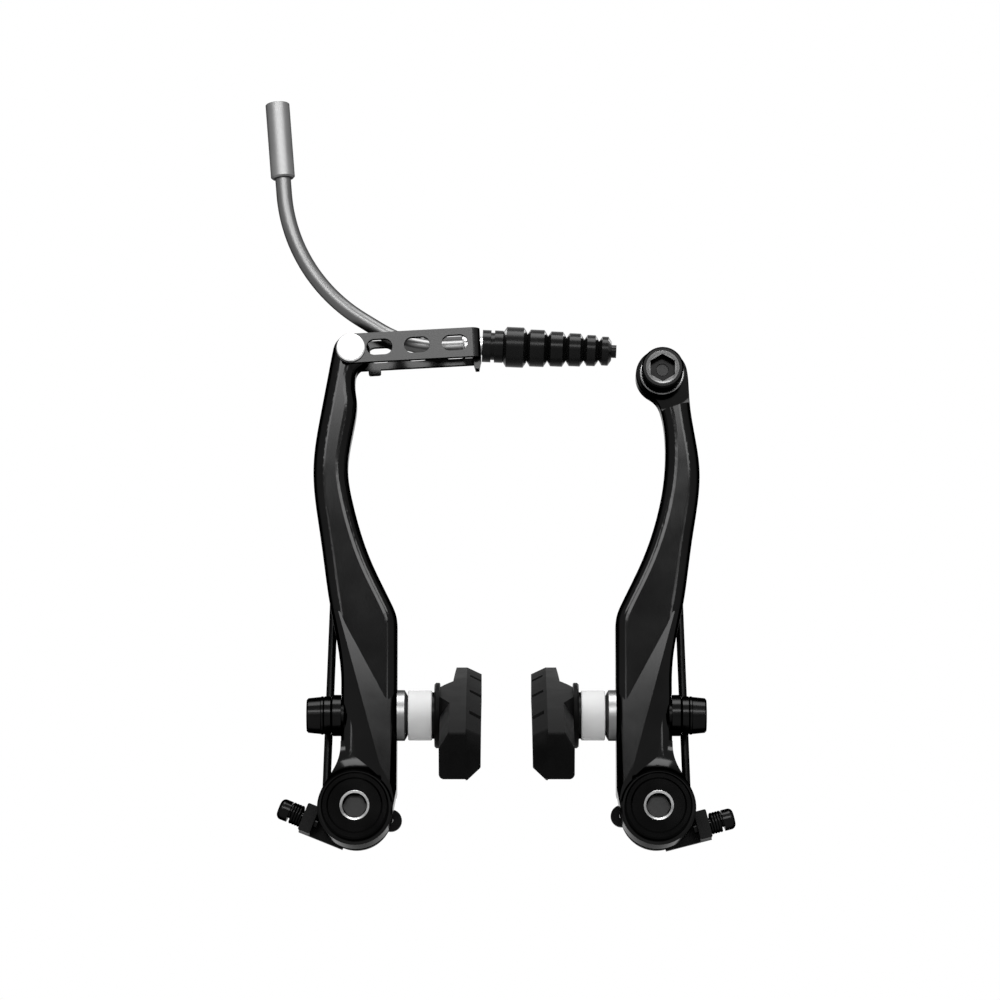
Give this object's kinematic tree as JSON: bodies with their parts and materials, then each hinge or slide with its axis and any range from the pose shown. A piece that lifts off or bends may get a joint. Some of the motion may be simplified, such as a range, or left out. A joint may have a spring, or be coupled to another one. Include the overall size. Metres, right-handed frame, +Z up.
{
  "type": "linear-pull bicycle brake",
  "caption": "Linear-pull rim brake: two sprung arms on pivot bolts, adjustable brake pads, a windowed cable link with a bent noodle and bellows boot, and a cable fixing bolt.",
  "frame": {"origin": "on the mounting plane at the bosses' shoulders, midway between the two pivot axes", "axes": "+X to the viewer's right seen from the front, +Z up along the arms, +Y back into the frame"},
  "size_m": [0.1163, 0.0652, 0.1873],
  "materials": {
    "arm_black": "satin black coating",
    "bush_steel": "ground steel",
    "bolt_black": "black steel, satin",
    "seat_black": "moulded, matte",
    "spring_black": "black coated spring wire",
    "screw_black": "black steel",
    "screw_spring_steel": "dark spring wire",
    "pad_black": "moulded, matte",
    "friction_rubber": "matte black rubber",
    "post_steel": "threaded steel",
    "washer_steel": "plain steel",
    "spacer_silver": "pale matte",
    "washer_black": "black steel",
    "nut_black": "black steel",
    "link_black": "satin grey-black coating",
    "pin_silver": "bright flat heads",
    "noodle_steel": "drawn tube",
    "liner_white": "low-friction liner",
    "ferrule_grey": "turned, satin",
    "tip_silver": "turned, bright",
    "boot_rubber": "matte black rubber",
    "clamp_washer_silver": "bright steel"
  },
  "bodies": {
    "mounting_hardware": {"left_pivot_bush": "bush_steel", "left_pivot_bolt": "bolt_black", "left_spring_seat": "seat_black", "left_stopper_pin": "bush_steel", "left_return_spring": "spring_black", "left_adjuster_spring": "screw_spring_steel", "right_pivot_bush": "bush_steel", "right_pivot_bolt": "bolt_black", "right_spring_seat": "seat_black", "right_stopper_pin": "bush_steel", "right_return_spring": "spring_black", "right_adjuster_spring": "screw_spring_steel"},
    "left_arm_body": {"left_arm": "arm_black"},
    "right_arm_body": {"right_arm": "arm_black", "cable_bolt": "bolt_black", "cable_clamp_washer": "clamp_washer_silver"},
    "link": {"link_plate": "link_black", "link_pin": "pin_silver"},
    "noodle": {"noodle_pipe": "noodle_steel", "noodle_liner": "liner_white", "noodle_ferrule": "ferrule_grey", "noodle_tip": "tip_silver", "rubber_boot": "boot_rubber"},
    "left_adjuster": {"left_adjuster_screw": "screw_black"},
    "left_pad_washers": {"left_inner_convex_washer": "washer_steel", "left_outer_convex_washer": "washer_black"},
    "left_pad": {"left_pad_holder": "pad_black", "left_friction_block": "friction_rubber", "left_pad_post": "post_steel", "left_inner_spacer": "spacer_silver", "left_outer_cup_washer": "washer_black", "left_plain_washer": "washer_black", "left_pad_nut": "nut_black"},
    "right_adjuster": {"right_adjuster_screw": "screw_black"},
    "right_pad_washers": {"right_inner_convex_washer": "washer_steel", "right_outer_convex_washer": "washer_black"},
    "right_pad": {"right_pad_holder": "pad_black", "right_friction_block": "friction_rubber", "right_pad_post": "post_steel", "right_inner_spacer": "spacer_silver", "right_outer_cup_washer": "washer_black", "right_plain_washer": "washer_black", "right_pad_nut": "nut_black"}
  },
  "joints": [
    {"name": "left_arm_pivot", "type": "hinge", "parent": "mounting_hardware", "child": "left_arm_body", "pos_m": [-0.0367, 0, 0], "axis": [0, 1, 0], "range_deg": [-15, 1.2], "stiffness_Nm_per_rad": 3, "deforming": ["left_return_spring"]},
    {"name": "left_pad_height", "type": "slide", "parent": "left_arm_body", "child": "left_pad_washers", "axis": [0, 0, 1], "range_m": [-0.002, 0.002]},
    {"name": "left_pad_swivel", "type": "hinge", "parent": "left_pad_washers", "child": "left_pad", "pos_m": [-0.022, -0.0086, 0.0234], "axis": [1, 0, 0], "range_deg": [-30, 15]},
    {"name": "left_adjuster_turn", "type": "hinge", "parent": "mounting_hardware", "child": "left_adjuster", "pos_m": [-0.04963, -0.0037, -0.00103], "axis": [-0.9272, 0, 0.3746], "range_deg": [-360, 360]},
    {"name": "right_arm_pivot", "type": "hinge", "parent": "mounting_hardware", "child": "right_arm_body", "pos_m": [0.0367, 0, 0], "axis": [0, -1, 0], "range_deg": [-15, 1.2], "stiffness_Nm_per_rad": 3, "deforming": ["right_return_spring"]},
    {"name": "right_pad_height", "type": "slide", "parent": "right_arm_body", "child": "right_pad_washers", "axis": [0, 0, 1], "range_m": [-0.002, 0.002]},
    {"name": "right_pad_swivel", "type": "hinge", "parent": "right_pad_washers", "child": "right_pad", "pos_m": [0.022, -0.0086, 0.0234], "axis": [1, 0, 0], "range_deg": [-30, 15]},
    {"name": "right_adjuster_turn", "type": "hinge", "parent": "mounting_hardware", "child": "right_adjuster", "pos_m": [0.04938, -0.0037, -0.00271], "axis": [0.9681, 0, 0.2504], "range_deg": [-360, 360]},
    {"name": "link_pivot", "type": "hinge", "parent": "left_arm_body", "child": "link", "pos_m": [-0.0384, -0.0094, 0.114], "axis": [0, 1, 0], "range_deg": [-20, 50]},
    {"name": "noodle_swivel", "type": "hinge", "parent": "link", "child": "noodle", "pos_m": [-0.00845, -0.0094, 0.11567], "axis": [0.9984, 0, 0.0558], "range_deg": [-12, 12]}
  ]
}
